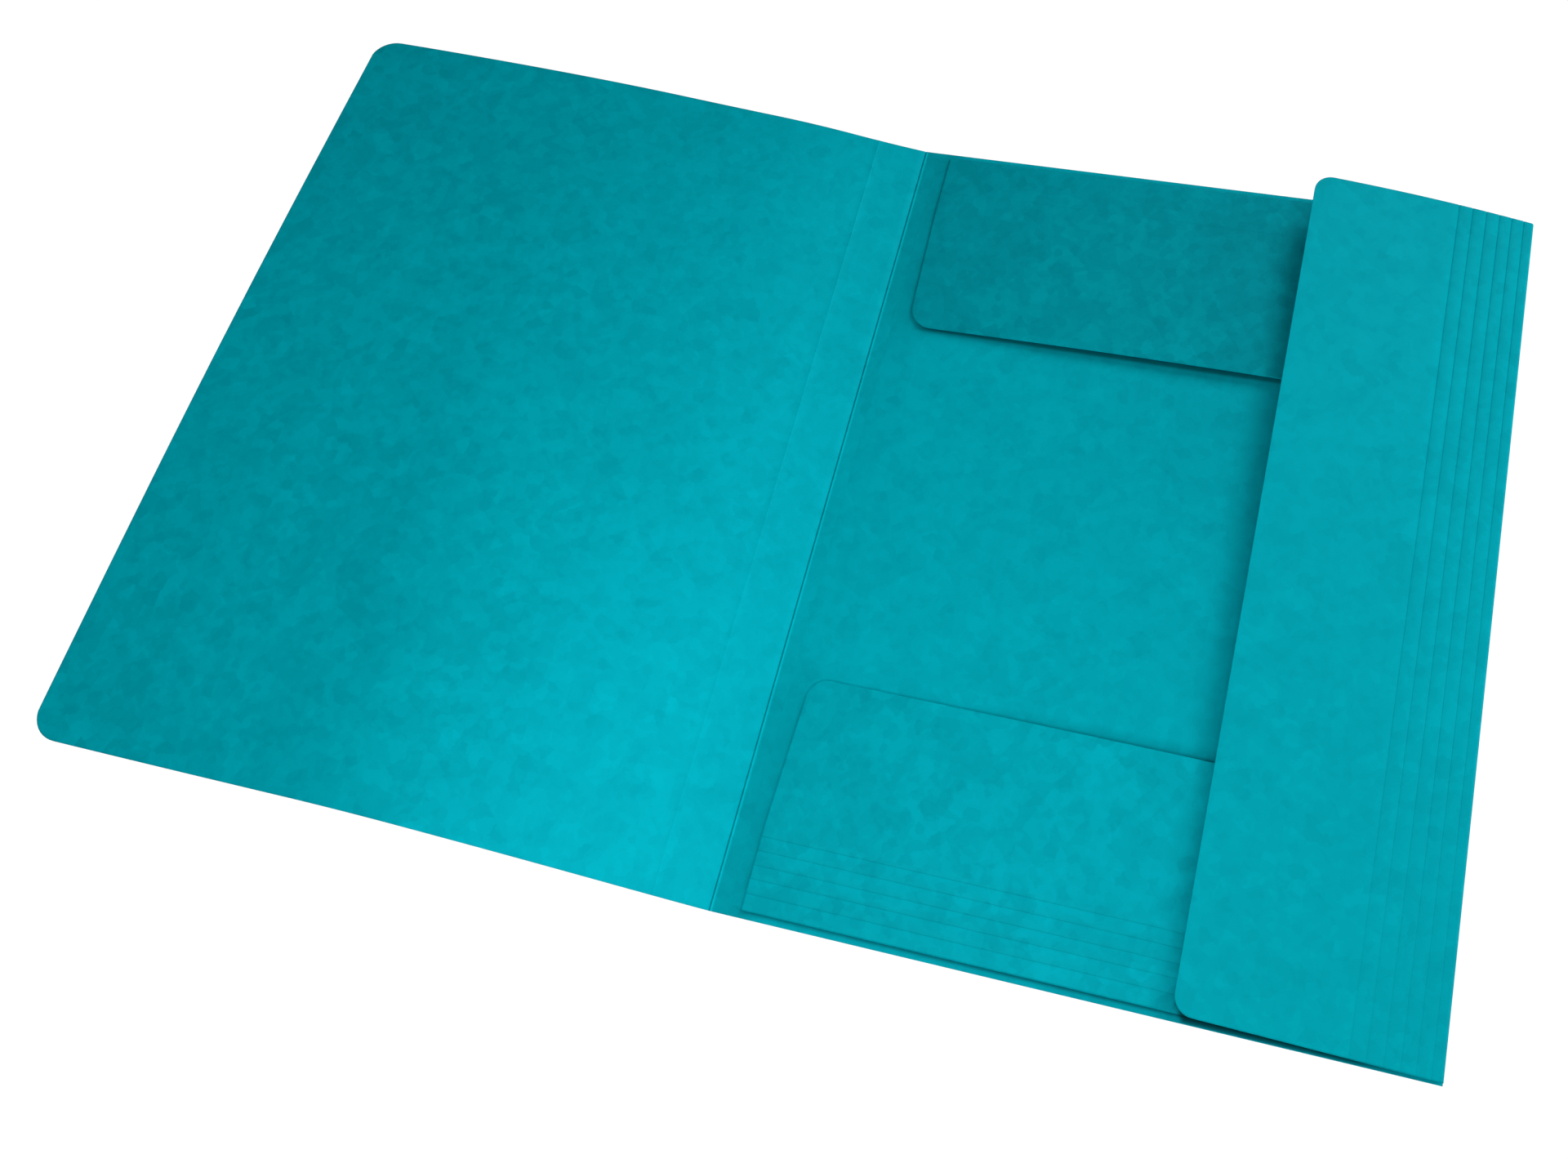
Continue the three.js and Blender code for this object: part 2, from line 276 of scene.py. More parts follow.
def blend(near, far, bow_at=lambda s: 0):
    """The sheet between the curves of its two ends, bowed up midway between them."""
    def at(s, share):
        ends = zip(near(s), far(s))
        u, z, slope = (lerp(a, b, share) for a, b in ends)
        return u, z + bow_at(s) * math.sin(math.pi * share), slope

    return at


def line_share(line, s):
    """The share of a pressed line's full height at a distance along the sheet."""
    share = abs(s - line[0]) / (line[2] / 2)
    return 0.5 + 0.5 * math.cos(math.pi * share) if share < 1 else 0.0


def line_height(lines, s):
    return sum(line[1] * line_share(line, s) for line in lines)


# Painted shade in the creases and painted highlights on the ridges, as a factor on the card's colour
def line_shade_and_highlight(lines, s):
    return 1 + sum((line[3] - 1) * line_share(line, s) for line in lines)


def moved_lines(lines, start):
    return [(start + centre, *rest) for centre, *rest in lines]


def station_list(marks, lines, first, last):
    """Distances along a sheet that get a row of points, close together at folds, lines and corners."""
    line_marks = [line[0] + share * line[2] / 2 for line in lines for share in LINE_SHARES]
    soft_ends = [first + EDGE_SOFTENING, last - EDGE_SOFTENING]
    fixed = sorted(s for s in [first, last, *soft_ends, *marks, *line_marks] if first <= s <= last)
    stations = [fixed[0]]
    for mark in fixed[1:]:
        start = stations[-1]
        gap = mark - start
        if gap < SMALLEST_STEP:
            continue
        parts = math.ceil(gap / STATION_STEP)
        stations += [start + gap * i / parts for i in range(1, parts + 1)]
    return stations


def corner_marks(end, radius=CORNER_RADIUS):
    turns = [math.pi / 2 * i / CORNER_STEPS for i in range(CORNER_STEPS + 1)]
    return [end - radius + radius * math.sin(turn) for turn in turns]


def corner_inset(s, end, radius=CORNER_RADIUS):
    past = max(0.0, s - (end - radius))
    return radius - math.sqrt(max(0.0, radius ** 2 - past ** 2))


def across_list(low, high, marks):
    """Distances across a sheet that get a point, closer together near its two edges and at the marks."""
    side = math.copysign(1, high - low)
    inner = [lerp(low, high, j / ROWS) for j in range(2, ROWS - 1)]
    inner = sorted([*inner, *marks], reverse=high < low)
    near = [low + side * margin for margin in EDGE_MARGINS]
    far = [high - side * margin for margin in reversed(EDGE_MARGINS)]
    return [low, *near, *inner, *far, high]


def board(stations, edges, place, look, thickness=lambda s: CARD, across_marks=()):
    """A closed board of card, its cut edges softened: its points and faces, its tone and mottle at each
    point, and each point's distance along and across the sheet, which is the finish's flat map."""
    points, flat, tones, mottles, faces = [], [], [], [], []
    first, last = stations[0], stations[-1]
    for s in stations:
        across = across_list(*edges(s), across_marks)
        edge = len(across) - 1
        end_edge = min(s - first, last - s) < EDGE_SOFTENING / 2
        for j, w in enumerate(across):
            point, normal = place(s, w)
            tone, mottle = look(s, w, point)
            side_edge = j in (0, edge)
            # Cut edges are lighter: partly their paler card, partly a painted highlight
            cut = CUT_EDGE_PALENESS_AND_HIGHLIGHT if side_edge or s == last else 1
            soft = min(EDGE_SOFTENING, thickness(s) / 2) if side_edge or end_edge else 0
            for rise in (soft, thickness(s) - soft):
                corner = point + normal * (rise - CARD / 2)
                corner.z = max(corner.z, 0.0)
                points.append(corner * MM)
                flat.append((s * MM, w * MM))
                tones.append(tone * cut)
                mottles.append(mottle)

    def at(i, j, upper):
        return (i * (edge + 1) + j) * 2 + upper

    end = len(stations) - 1
    for i in range(end):
        for j in range(edge):
            faces.append((at(i, j, 1), at(i + 1, j, 1), at(i + 1, j + 1, 1), at(i, j + 1, 1)))
            faces.append((at(i, j, 0), at(i, j + 1, 0), at(i + 1, j + 1, 0), at(i + 1, j, 0)))
        faces.append((at(i, 0, 0), at(i + 1, 0, 0), at(i + 1, 0, 1), at(i, 0, 1)))
        faces.append((at(i, edge, 0), at(i, edge, 1), at(i + 1, edge, 1), at(i + 1, edge, 0)))
    for j in range(edge):
        faces.append((at(0, j, 0), at(0, j, 1), at(0, j + 1, 1), at(0, j + 1, 0)))
        faces.append((at(end, j, 0), at(end, j + 1, 0), at(end, j + 1, 1), at(end, j, 1)))
    return {"points": points, "flat": flat, "tone": tones, "mottle": mottles, "faces": faces}


def waviness(x, y, z):
    """The slight unevenness of real card, a few hundredths of a millimetre, for points in millimetres."""
    slow = math.sin(x / 31 + 0.7) * math.sin(y / 43 + 1.9)
    quick = math.sin(x / 13 + y / 17) * math.sin(y / 11 - x / 29 + 0.4)
    return SLOW_WAVE * slow + QUICK_WAVE * quick


def painted_shade_beside_spine(point):
    """The painted shade of the strip between the spine's fold and the flaps, darkest right beside an end
    flap.
    """
    inside = ramp(point.x, *SPINE_STRIP_START_X) * (1 - ramp(point.x, *SPINE_STRIP_END_X))
    by_flap = BESIDE_TOP_FLAP_PAINTED_SHADES if point.y > 0 else BESIDE_BOTTOM_FLAP_PAINTED_SHADES
    share = ramp(abs(point.y), *BESIDE_END_FLAP_Y)
    first, last = (lerp(a, b, share) for a, b in zip(BESIDE_SPINE_PAINTED_SHADES, by_flap))
    return lerp(1.0, lerp(first, last, ramp(point.x, *SPINE_STRIP_DEEPENS_X)), inside)


def painted_light_beside_side_flap(point):
    """Painted light, a little lighter on the card left of the side flap in its near half, under the flap's
    shadow.
    """
    share = ramp(point.x, *BESIDE_SIDE_FLAP_X) * ramp(point.y, *BESIDE_SIDE_FLAP_Y)
    return lerp(1.0, BESIDE_SIDE_FLAP_PAINTED_LIGHT, share)


def painted_shade_under_side_flap(point):
    """The tone of card low down below the side flap's near edge, where hardly any light comes in."""
    from_edge = point.y + FOLDER_HEIGHT / 2
    start = SIDE_FLAP_FREE_EDGE + lerp(*CORNER_SHADOW_INSETS, ramp(from_edge, *CORNER_SHADOW_NEAR))
    below = ramp(point.x, start, start + CORNER_SHADOW_SOFTNESS)
    below *= 1 - ramp(point.x, *SIDE_SHADOW_END_X)
    near = ramp(from_edge, *SIDE_SHADOW_START_NEAR) * (1 - ramp(from_edge, *SIDE_SHADOW_END_NEAR))
    return lerp(1.0, UNDER_SIDE_FLAP_PAINTED_SHADE, below * near)


def cover_board():
    def bow_at(s):
        return COVER_EDGE_BOW * (s / COVER_LENGTH) ** 2

    raised = blend(*(arc_curve(legs_from(COVER_SLOPES, end)) for end in ("near", "far")), bow_at)
    lines = SPINE_FOLD + FRONT_FOLD

    def place(s, y):
        u, z, slope = (s, 0, 0) if s < 0 else raised(s, y / FOLDER_HEIGHT + 0.5)
        normal = Vector((math.sin(slope), 0, math.cos(slope)))
        point = Vector((-u, y, CARD / 2 + z))
        lift = line_height(lines, s)
        if s > 0:
            lift += waviness(s, y, z) * min(1.0, s / COVER_WAVES_FROM_SPINE)
        return point + normal * lift, normal

    def look(s, y, point):
        near_tone = lerp(1.0, along(COVER_NEAR_PAINTED_LIGHT_AND_SHADE, s), ramp(y, *COVER_NEAR_TONE_Y))
        tone = line_shade_and_highlight(lines, s) * along(COVER_PAINTED_LIGHT_AND_SHADE, s) * near_tone * painted_shade_beside_spine(point)
        # Painted shadow in front of the near fold, and painted shade under the side flap's near end
        from_edge = y + FOLDER_HEIGHT / 2
        gap = lerp(*UNDER_FOLD_GAPS, ramp(point.x, 0, SIDE_FLAP_FREE_EDGE))
        under_fold = ramp(from_edge, END_FOLD_INSET - gap, END_FOLD_INSET)
        under_fold *= 1 - ramp(from_edge, *UNDER_FOLD_END_NEAR)
        if point.x > FLAP_SPINE_INSET:
            tone *= lerp(1.0, UNDER_FOLD_PAINTED_SHADOW, under_fold)
        return tone * painted_shade_under_side_flap(point), along(COVER_MOTTLE, s)

    def edges(s):
        inset = corner_inset(s, COVER_LENGTH)
        return FOLDER_HEIGHT / 2 - inset, inset - FOLDER_HEIGHT / 2

    marks = [row[0] for row in COVER_SLOPES] + corner_marks(COVER_LENGTH) + BESIDE_SPINE_MARKS
    marks += [-x for x in CORNER_SHADOW_MARKS]
    return board(station_list(marks, lines, -BACK_WIDTH, COVER_LENGTH), edges, place, look)


def base_and_side_flap_board():
    base_length = SIDE_FOLD_START - BASE_SPINE_INSET
    root = [(base_length, 0, 0)]
    legs = [root + folded_legs(SIDE_FOLD_RADIUS, SIDE_FLAP_SLOPES, end) for end in ("near", "far")]
    curve = blend(*(arc_curve(one_end) for one_end in legs))
    bend = SIDE_FOLD_RADIUS * math.pi
    bend_end = base_length + bend
    length = bend_end - SIDE_FOLD_RADIUS + SIDE_FLAP_DEPTH - CARD / 2
    lines = moved_lines(SIDE_CREASES, bend_end)
    widening_from, widening_to = base_length - FLAP_SIDE_INSET / 2, base_length - WIDENING_MARGIN

    def pressed(y):
        """The creases are clear at the far end and fade towards the near one."""
        return lerp(NEAR_CREASE_SHARE, 1.0, ramp(y, *CREASES_CLEAR_Y))

    def edges(s):
        half = lerp(END_FOLD_START, SIDE_FLAP_HALF, ramp(s, widening_from, widening_to))
        half -= corner_inset(s, length, SIDE_CORNER_RADIUS)
        return SIDE_FLAP_NEAR_INSET * ramp(s, bend_end, length) - half, half

    def place(s, y):
        u, z, slope = curve(s, y / FOLDER_HEIGHT + 0.5)
        normal = Vector((-math.sin(slope), 0, math.cos(slope)))
        free = max(0.0, s - bend_end) / SIDE_FLAP_DEPTH
        lift = line_height(lines, s) * pressed(y) - waviness(s, y, z) * min(1.0, free / FLAP_WAVES_SHARE)
        return Vector((BASE_SPINE_INSET + u, y, BASE_MIDDLE + z)) + normal * lift, normal

    def look(s, y, point):
        turned = ramp(s, base_length, bend_end)
        tone = lerp(1.0, line_shade_and_highlight(lines, s), pressed(y))
        # Painted shade, darker towards the side flap's near end
        tone *= lerp(1.0, SIDE_FLAP_NEAR_PAINTED_SHADE, turned * ramp(y, *SIDE_FLAP_TONE_Y))
        if s < base_length:
            # Painted shadows by the end flaps' free edges, painted shade beside the spine, and painted
            # light beside the side flap and on the feathered edge
            under_top = lerp(ramp(y, *TOP_SHADOW_Y), ramp(y, *SOFT_TOP_SHADOW_Y), SOFT_TOP_SHADOW_SHARE)
            under_top *= ramp(s, *TOP_SHADOW_ALONG)
            past_bottom = (1 - ramp(y, *BOTTOM_SHADOW_Y)) * ramp(s, *BOTTOM_SHADOW_ALONG)
            tone *= painted_shade_beside_spine(point) * painted_light_beside_side_flap(point)
            tone *= lerp(1.0, UNDER_TOP_FLAP_PAINTED_SHADOW, under_top)
            tone *= lerp(1.0, PAST_BOTTOM_FLAP_PAINTED_SHADOW, past_bottom)
            tone *= lerp(FEATHER_PAINTED_LIGHT, 1.0, ramp(s, *FEATHER_TONE_ALONG))
        return tone, lerp(BASE_MOTTLE, SIDE_FLAP_MOTTLE, turned)

    def thickness(s):
        """The glued left edge is feathered, so that it hardly shows on the back panel."""
        return CARD * lerp(FEATHER_THICKNESS_SHARE, 1.0, ramp(s, 0, FEATHER))

    fold_marks = [base_length + bend * i / FOLD_STEPS for i in range(FOLD_STEPS + 1)]
    marks = [FEATHER, widening_from, widening_to, *fold_marks, *corner_marks(length, SIDE_CORNER_RADIUS)]
    stations = station_list(marks, lines, 0, length)
    return board(stations, edges, place, look, thickness, TOP_SHADOW_MARKS + BOTTOM_SHADOW_MARKS)


def end_flap_board(depth, taper, radius, slopes, bow, lean, creases, direction, tone, mottle):
    """The top flap where direction is 1, and the bottom flap where it is -1."""
    side_end = BACK_WIDTH - FLAP_SIDE_INSET
    bend = END_FOLD_RADIUS * math.pi
    length = bend - END_FOLD_RADIUS + depth - CARD / 2

    def bow_at(s):
        return bow * max(0.0, s - bend) / depth

    legs = [folded_legs(END_FOLD_RADIUS, slopes, end) for end in ("near", "far")]
    curve = blend(*(arc_curve(one_end) for one_end in legs), bow_at)
    lines = moved_lines(creases, bend)
    creased = bend + CREASED_BAND

    def edges(s):
        inset = taper * max(0.0, (s - creased) / (length - creased)) + corner_inset(s, length, radius)
        ends = FLAP_SPINE_INSET + inset, side_end - inset
        return ends if direction < 0 else ends[::-1]

    def place(s, x):
        share = (x - FLAP_SPINE_INSET) / (side_end - FLAP_SPINE_INSET)
        u, z, slope = curve(s, share)
        normal = Vector((0, -math.sin(slope) * direction, math.cos(slope)))
        free = max(0.0, s - bend) / depth
        lift = line_height(lines, s) - waviness(x, s, z) * min(1.0, free / FLAP_WAVES_SHARE)
        y = direction * (END_FOLD_START + u) + lerp(*lean, share) * free
        return Vector((x, y, BASE_MIDDLE + z)) + normal * lift, normal

    def look(s, x, point):
        turned = ramp(s, 0, bend)
        # Painted shade: the flap's own darkening, its creases, under the side flap's near end and at its
        # spine end. The bottom flap also gets painted light beside the side flap.
        shade = lerp(1.0, tone, turned) * line_shade_and_highlight(lines, s) * painted_shade_under_side_flap(point)
        shade *= lerp(FLAP_SPINE_SIDE_PAINTED_SHADE, 1.0, ramp(x, *END_FLAP_TONE_X))
        if direction < 0:
            shade *= painted_light_beside_side_flap(point)
        return shade, lerp(BASE_MOTTLE, mottle, turned)

    fold_marks = [bend * i / FOLD_STEPS for i in range(FOLD_STEPS + 1)]
    stations = station_list([creased, *fold_marks, *corner_marks(length, radius)], lines, 0, length)
    shadow_marks = CORNER_SHADOW_MARKS if direction < 0 else ()
    return board(stations, edges, place, look, across_marks=shadow_marks)


def flap_boards():
    return [
        base_and_side_flap_board(),
        end_flap_board(
            depth=TOP_FLAP_DEPTH, taper=TOP_FLAP_TAPER, radius=TOP_CORNER_RADIUS, slopes=TOP_FLAP_SLOPES,
            bow=TOP_FLAP_BOW, lean=TOP_FLAP_LEAN, creases=TOP_CREASES, direction=1,
            tone=TOP_FLAP_PAINTED_SHADE, mottle=TOP_FLAP_MOTTLE,
        ),
        end_flap_board(
            depth=BOTTOM_FLAP_DEPTH, taper=BOTTOM_FLAP_TAPER, radius=BOTTOM_CORNER_RADIUS,
            slopes=BOTTOM_FLAP_SLOPES, bow=BOTTOM_FLAP_BOW, lean=BOTTOM_FLAP_LEAN,
            creases=BOTTOM_CREASES, direction=-1, tone=1.0, mottle=BOTTOM_FLAP_MOTTLE,
        ),
    ]


def make_piece(name, boards):
    """One mesh of one or more boards, with the card's flat map, tone and mottle on it."""
    parts = {key: [] for key in ("points", "flat", "tone", "mottle", "faces")}
    for each in boards:
        start = len(parts["points"])
        for key in ("points", "flat", "tone", "mottle"):
            parts[key] += each[key]
        parts["faces"] += [tuple(index + start for index in face) for face in each["faces"]]
    mesh = bpy.data.meshes.new(name)
    mesh.from_pydata(parts["points"], [], parts["faces"])
    layer = mesh.uv_layers.new(name="card_map")
    for loop in mesh.loops:
        layer.data[loop.index].uv = parts["flat"][loop.vertex_index]
    for key in ("tone", "mottle"):
        mesh.attributes.new(key, "FLOAT", "POINT").data.foreach_set("value", parts[key])
    mesh.polygons.foreach_set("use_smooth", [True] * len(mesh.polygons))
    mesh.update()
    piece = bpy.data.objects.new(name, mesh)
    bpy.context.scene.collection.objects.link(piece)
    return piece


# Finish
CARD_DARK = (0.0, 0.225, 0.280, 1)
CARD_MIDDLE = (0.0, 0.318, 0.391, 1)
CARD_LIGHT = (0.0, 0.412, 0.500, 1)
SPECULAR_LEVEL = 0.01

# The tone from and to, and the roughness at each
ROUGHNESS_BAND = (0.2, 0.9, 0.56, 0.46)

# Sizes of the flakes in metres, and the share of each in the card's tone
LARGE_FLAKE, MIDDLE_FLAKE, SMALL_FLAKE = 0.0085, 0.0048, 0.0027
LARGE_SHARE, MIDDLE_SHARE, SMALL_SHARE = 0.20, 0.34, 0.24
CLOUD_SHARE = 0.22
MIDDLE_SEED, SMALL_SEED = 1.3, 2.9
SEED_FACTORS = (1, 0.37, 0.71)
FLAKE_RANDOMNESS = 0.9
FULL_SPREAD = 0.3

# Dark specks are the flakes with the highest values, and gather where the clouds are lighter. The clouds'
# band has the value from and to, and the share of specks at each.
MIDDLE_SPECKS = (0.72, 0.98)
SMALL_SPECKS = (0.78, 1.0)
SMALL_SPECK_SHARE = 0.8
SPECK_CLOUDS = (0.36, 0.62, 0.35, 1.0)
SPECK_STRENGTH = 0.42

# Noises by their scale per metre: the wobble that bends the flakes' edges, the clouds and the fibres
WOBBLE_SCALE, CLOUD_SCALE, FIBRE_SCALE = 420, 30, 2600
WOBBLE_REACH = 0.0022
FIBRE_RELIEF, FLAKE_RELIEF = 0.6, 0.25
RELIEF_STRENGTH = 0.22
RELIEF_DEPTH = 0.00006


class Nodes:
    """Short calls for building a material's nodes."""

    def __init__(self, name):
        self.material = bpy.data.materials.new(name)
        self.material.use_nodes = True
        self.tree = self.material.node_tree
        self.tree.nodes.clear()

    def add(self, kind, **values):
        node = self.tree.nodes.new(kind)
        for key, value in values.items():
            if hasattr(node, key):
                setattr(node, key, value)
            else:
                self.put(node.inputs[key.replace("_", " ")], value)
        return node

    def put(self, socket, value):
        if isinstance(value, bpy.types.NodeSocket):
            self.tree.links.new(value, socket)
        else:
            socket.default_value = value

    def maths(self, operation, a, b=0.0):
        node = self.add("ShaderNodeMath", operation=operation)
        self.put(node.inputs[0], a)
        self.put(node.inputs[1], b)
        return node.outputs[0]

    def mix(self, kind, share, a, b):
        node = self.add("ShaderNodeMix", data_type="RGBA", blend_type=kind)
        self.put(node.inputs[0], share)
        self.put(node.inputs[6], a)
        self.put(node.inputs[7], b)
        return node.outputs[2]

    def band(self, value, low, high, from_value=0.0, to_value=1.0):
        node = self.add("ShaderNodeMapRange")
        for socket, number in zip(node.inputs, (value, low, high, from_value, to_value)):
            self.put(socket, number)
        return node.outputs[0]


def noise(nodes, place, **values):
    node = nodes.add("ShaderNodeTexNoise", noise_dimensions="2D", **values)
    nodes.put(node.inputs["Vector"], place)
    return node


def flakes(nodes, place, size, seed):
    """Angular flakes pressed in the card: one random value each, at a size in metres."""
    moved = nodes.add("ShaderNodeVectorMath", operation="ADD")
    nodes.put(moved.inputs[0], place)
    moved.inputs[1].default_value = [seed * factor for factor in SEED_FACTORS]
    cells = nodes.add(
        "ShaderNodeTexVoronoi", voronoi_dimensions="2D", Scale=1 / size, Randomness=FLAKE_RANDOMNESS,
    )
    nodes.put(cells.inputs["Vector"], moved.outputs[0])
    split = nodes.add("ShaderNodeSeparateColor")
    nodes.put(split.inputs[0], cells.outputs["Color"])
    return split.outputs[0]


def wobbled(nodes, place):
    """The flat map with each place moved a little, so that the flakes' edges aren't straight."""
    wobble = noise(nodes, place, Scale=WOBBLE_SCALE, Detail=2.0, Roughness=0.6)
    centred = nodes.add("ShaderNodeVectorMath", operation="SUBTRACT")
    nodes.put(centred.inputs[0], wobble.outputs["Color"])
    centred.inputs[1].default_value = (0.5, 0.5, 0.5)
    shift = nodes.add("ShaderNodeVectorMath", operation="SCALE", Scale=WOBBLE_REACH)
    nodes.put(shift.inputs[0], centred.outputs[0])
    bent = nodes.add("ShaderNodeVectorMath", operation="ADD")
    nodes.put(bent.inputs[0], place)
    nodes.put(bent.inputs[1], shift.outputs[0])
    return bent.outputs[0]


def card_material(name, seed):
    """Turquoise card of pressed flakes. The pieces' attributes give its tone and its contrast."""
    nodes = Nodes(name)
    place = nodes.add("ShaderNodeUVMap", uv_map="card_map").outputs[0]
    bent = wobbled(nodes, place)
    large = flakes(nodes, bent, LARGE_FLAKE, seed)
    middle = flakes(nodes, bent, MIDDLE_FLAKE, seed + MIDDLE_SEED)
    small = flakes(nodes, bent, SMALL_FLAKE, seed + SMALL_SEED)
    clouds = noise(nodes, place, Scale=CLOUD_SCALE, Detail=3.0).outputs[0]

    tone = nodes.maths("MULTIPLY", large, LARGE_SHARE)
    for pattern, share in ((middle, MIDDLE_SHARE), (small, SMALL_SHARE), (clouds, CLOUD_SHARE)):
        tone = nodes.maths("ADD", tone, nodes.maths("MULTIPLY", pattern, share))
    mottle = nodes.add("ShaderNodeAttribute", attribute_name="mottle").outputs["Fac"]
    spread = nodes.maths("MULTIPLY", nodes.maths("SUBTRACT", tone, 0.5), mottle)
    ground = nodes.mix("MIX", nodes.band(spread, -FULL_SPREAD, FULL_SPREAD), CARD_MIDDLE, CARD_LIGHT)

    middle_specks = nodes.band(middle, *MIDDLE_SPECKS)
    small_specks = nodes.maths("MULTIPLY", nodes.band(small, *SMALL_SPECKS), SMALL_SPECK_SHARE)
    specks = nodes.maths("MAXIMUM", middle_specks, small_specks)
    gathered = nodes.maths("MULTIPLY", specks, nodes.band(clouds, *SPECK_CLOUDS))
    speck_share = nodes.maths("MULTIPLY", nodes.maths("MULTIPLY", gathered, SPECK_STRENGTH), mottle)
    colour = nodes.mix("MIX", speck_share, ground, CARD_DARK)

    fibres = noise(nodes, place, Scale=FIBRE_SCALE, Detail=3.0, Roughness=0.65).outputs[0]
    fibre_relief = nodes.maths("MULTIPLY", fibres, FIBRE_RELIEF)
    flake_relief = nodes.maths("MULTIPLY", small, FLAKE_RELIEF)
    bump = nodes.add("ShaderNodeBump", Strength=RELIEF_STRENGTH, Distance=RELIEF_DEPTH)
    nodes.put(bump.inputs["Height"], nodes.maths("ADD", fibre_relief, flake_relief))

    shader = nodes.add("ShaderNodeBsdfPrincipled")
    # The tone attribute scales the colour: painted shade and painted light, and the paler cut edges
    shade = nodes.add("ShaderNodeAttribute", attribute_name="tone").outputs["Fac"]
    toned = nodes.add("ShaderNodeVectorMath", operation="SCALE")
    nodes.put(toned.inputs[0], colour)
    nodes.put(toned.inputs["Scale"], shade)
    nodes.put(shader.inputs["Base Color"], toned.outputs[0])
    nodes.put(shader.inputs["Roughness"], nodes.band(tone, *ROUGHNESS_BAND))
    nodes.put(shader.inputs["Normal"], bump.outputs[0])
    shader.inputs["Specular IOR Level"].default_value = SPECULAR_LEVEL
    output = nodes.add("ShaderNodeOutputMaterial")
    nodes.put(output.inputs[0], shader.outputs[0])
    return nodes.material


def dress(piece, node, material):
    piece.data.materials.append(material)
    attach(piece, "root")
    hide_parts(node)


cover = make_piece("cover_card", [cover_board()])
dress(cover, "cover_sheet", card_material("pressed_card_cover", 0.0))
flaps = make_piece("flap_card", flap_boards())
dress(flaps, "flap_sheet", card_material("pressed_card_flaps", 7.0))


# Stage and light, in metres. A lamp is a disc that faces the middle of the folder's spine, given as its
# name, place, size across and power in watts.
FLOOR_HALF = 3.0
FLOOR_COLOUR = (0.92, 0.92, 0.92, 1)
FLOOR_GLOW = 1.06
FLOOR_GLOW_SHARE = 0.94
LAMPS = [
    ("front_softbox", (0.05, -0.25, 0.42), 0.3, 1.44),
    ("side_softbox", (0.43, 0.0, 0.614), 0.5, 0.8),
    ("low_side_lamp", (0.9, 0.12, 0.17), 0.3, 2.4),
    ("back_window", (0.655, 1.135, 0.918), 0.9, 11.6),
]


def add_floor():
    """A pale floor that looks white to the camera and keeps the folder's shadow."""
    half = FLOOR_HALF
    corners = [(-half, -half, 0), (half, -half, 0), (half, half, 0), (-half, half, 0)]
    mesh = bpy.data.meshes.new("floor")
    mesh.from_pydata(corners, [], [(0, 1, 2, 3)])
    floor = bpy.data.objects.new("floor", mesh)
    bpy.context.scene.collection.objects.link(floor)
    nodes = Nodes("floor")
    paper = nodes.add("ShaderNodeBsdfDiffuse", Color=FLOOR_COLOUR)
    glow = nodes.add("ShaderNodeEmission", Color=(1, 1, 1, 1), Strength=FLOOR_GLOW)
    path = nodes.add("ShaderNodeLightPath")
    seen = nodes.maths("MAXIMUM", path.outputs["Is Camera Ray"], path.outputs["Is Glossy Ray"])
    mix = nodes.add("ShaderNodeMixShader")
    nodes.put(mix.inputs[0], nodes.maths("MULTIPLY", seen, FLOOR_GLOW_SHARE))
    nodes.put(mix.inputs[1], paper.outputs[0])
    nodes.put(mix.inputs[2], glow.outputs[0])
    output = nodes.add("ShaderNodeOutputMaterial")
    nodes.put(output.inputs[0], mix.outputs[0])
    mesh.materials.append(nodes.material)


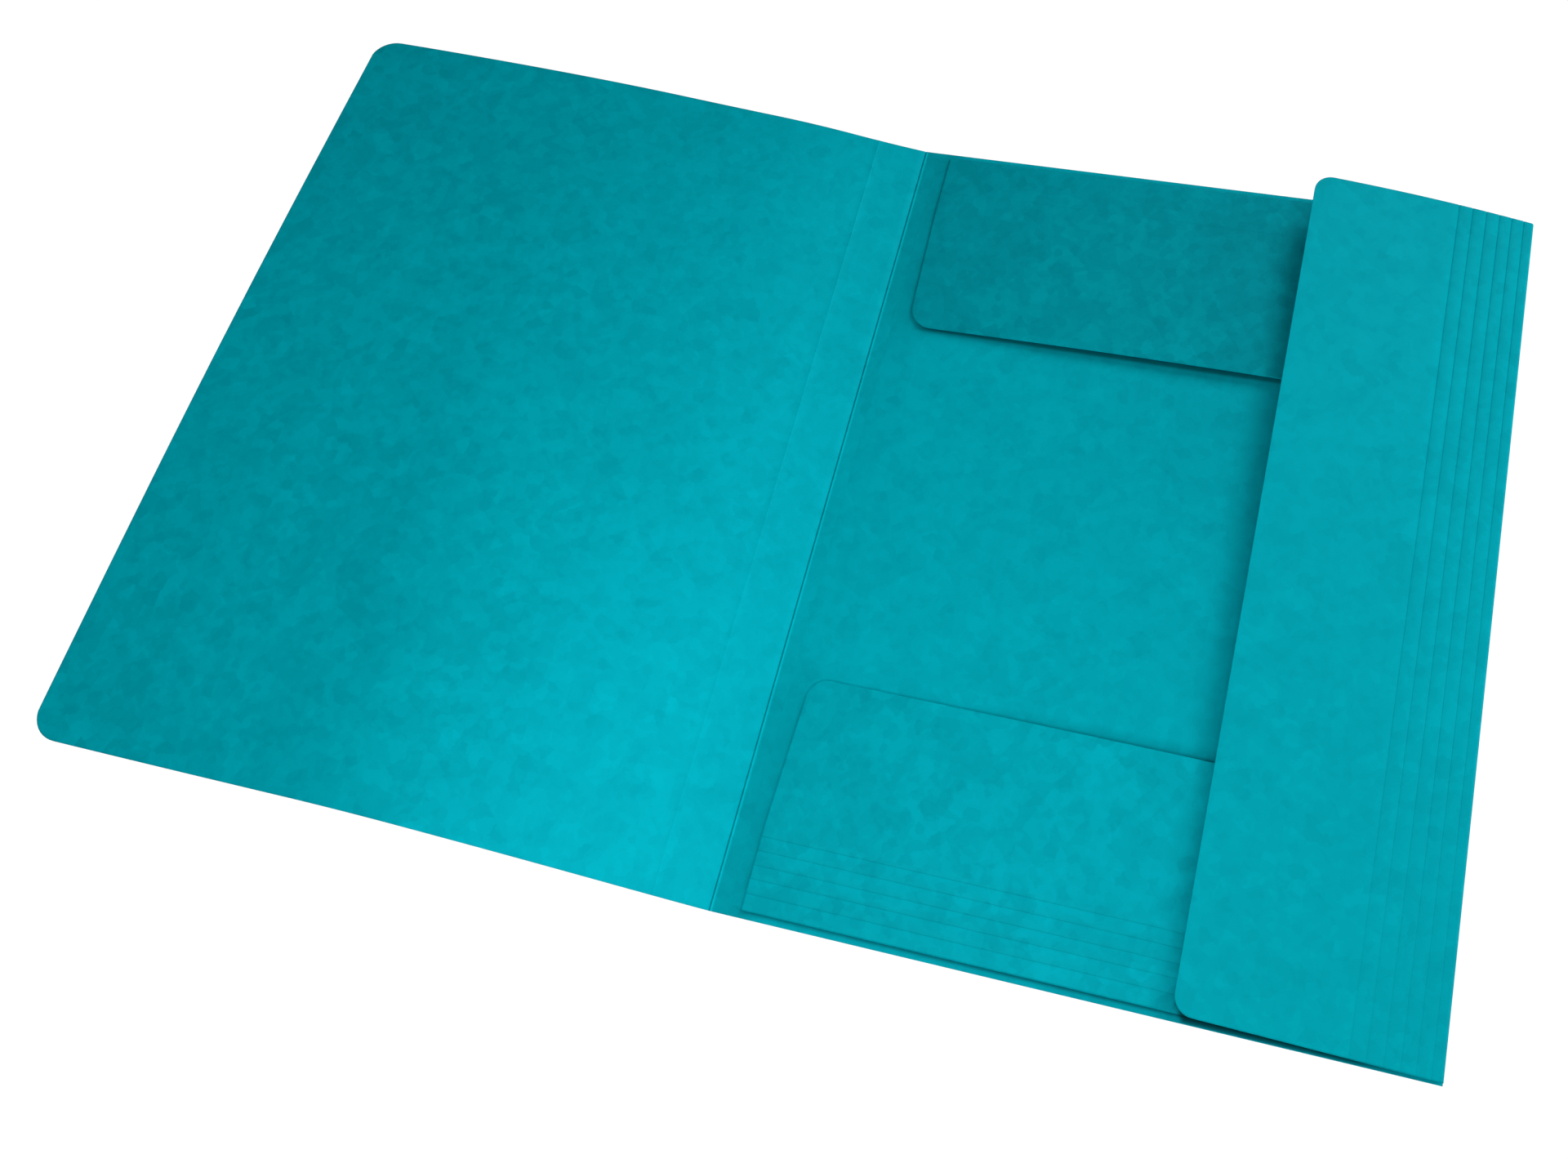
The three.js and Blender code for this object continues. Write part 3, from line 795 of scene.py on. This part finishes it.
def add_world():
    """White to the camera, and without any light on the folder."""
    world = bpy.data.worlds.new("studio")
    world.use_nodes = True
    tree = world.node_tree
    tree.nodes.clear()
    path = tree.nodes.new("ShaderNodeLightPath")
    background = tree.nodes.new("ShaderNodeBackground")
    background.inputs[0].default_value = (1, 1, 1, 1)
    tree.links.new(path.outputs["Is Camera Ray"], background.inputs[1])
    output = tree.nodes.new("ShaderNodeOutputWorld")
    tree.links.new(background.outputs[0], output.inputs[0])
    bpy.context.scene.world = world


def add_lamp(name, position, size, power):
    data = bpy.data.lights.new(name, "AREA")
    data.shape = "DISK"
    data.size = size
    data.energy = power
    lamp = bpy.data.objects.new(name, data)
    lamp.location = position
    lamp.rotation_euler = (-Vector(position)).to_track_quat("-Z", "Y").to_euler()
    lamp.visible_camera = False
    bpy.context.scene.collection.objects.link(lamp)


# The camera stands in front of the back panel, high above it. Its picture is a part of a wider frame, so
# the optical axis meets it off its middle, which is the small shift. Its place is in millimetres.
IMAGE_WIDTH, IMAGE_HEIGHT = 1920, 1419
FOCAL_PIXELS = 1592
AXIS_PIXEL = (1100, 790)
CAMERA_POSITION = (124.1, -197.9, 435.9)
CAMERA_RIGHT = (0.9656, 0.2370, -0.1071)
CAMERA_DOWN = (0.1883, -0.9212, -0.3405)
CAMERA_FORWARD = (-0.1794, 0.3087, -0.9341)
SENSOR_WIDTH = 36.0


def add_camera():
    data = bpy.data.cameras.new("camera")
    data.sensor_width = SENSOR_WIDTH
    data.lens = SENSOR_WIDTH * FOCAL_PIXELS / IMAGE_WIDTH
    data.shift_x = (IMAGE_WIDTH / 2 - AXIS_PIXEL[0]) / IMAGE_WIDTH
    data.shift_y = (AXIS_PIXEL[1] - IMAGE_HEIGHT / 2) / IMAGE_WIDTH
    data.clip_start = 0.01
    camera = bpy.data.objects.new("camera", data)
    right, up = Vector(CAMERA_RIGHT), -Vector(CAMERA_DOWN)
    back = -Vector(CAMERA_FORWARD)
    turn = Matrix((right, up, back)).transposed()
    camera.matrix_world = Matrix.Translation(Vector(CAMERA_POSITION) * MM) @ turn.to_4x4()
    bpy.context.scene.collection.objects.link(camera)
    bpy.context.scene.camera = camera


add_floor()
add_world()
for lamp in LAMPS:
    add_lamp(*lamp)
add_camera()
bpy.context.scene.view_settings.view_transform = "Standard"
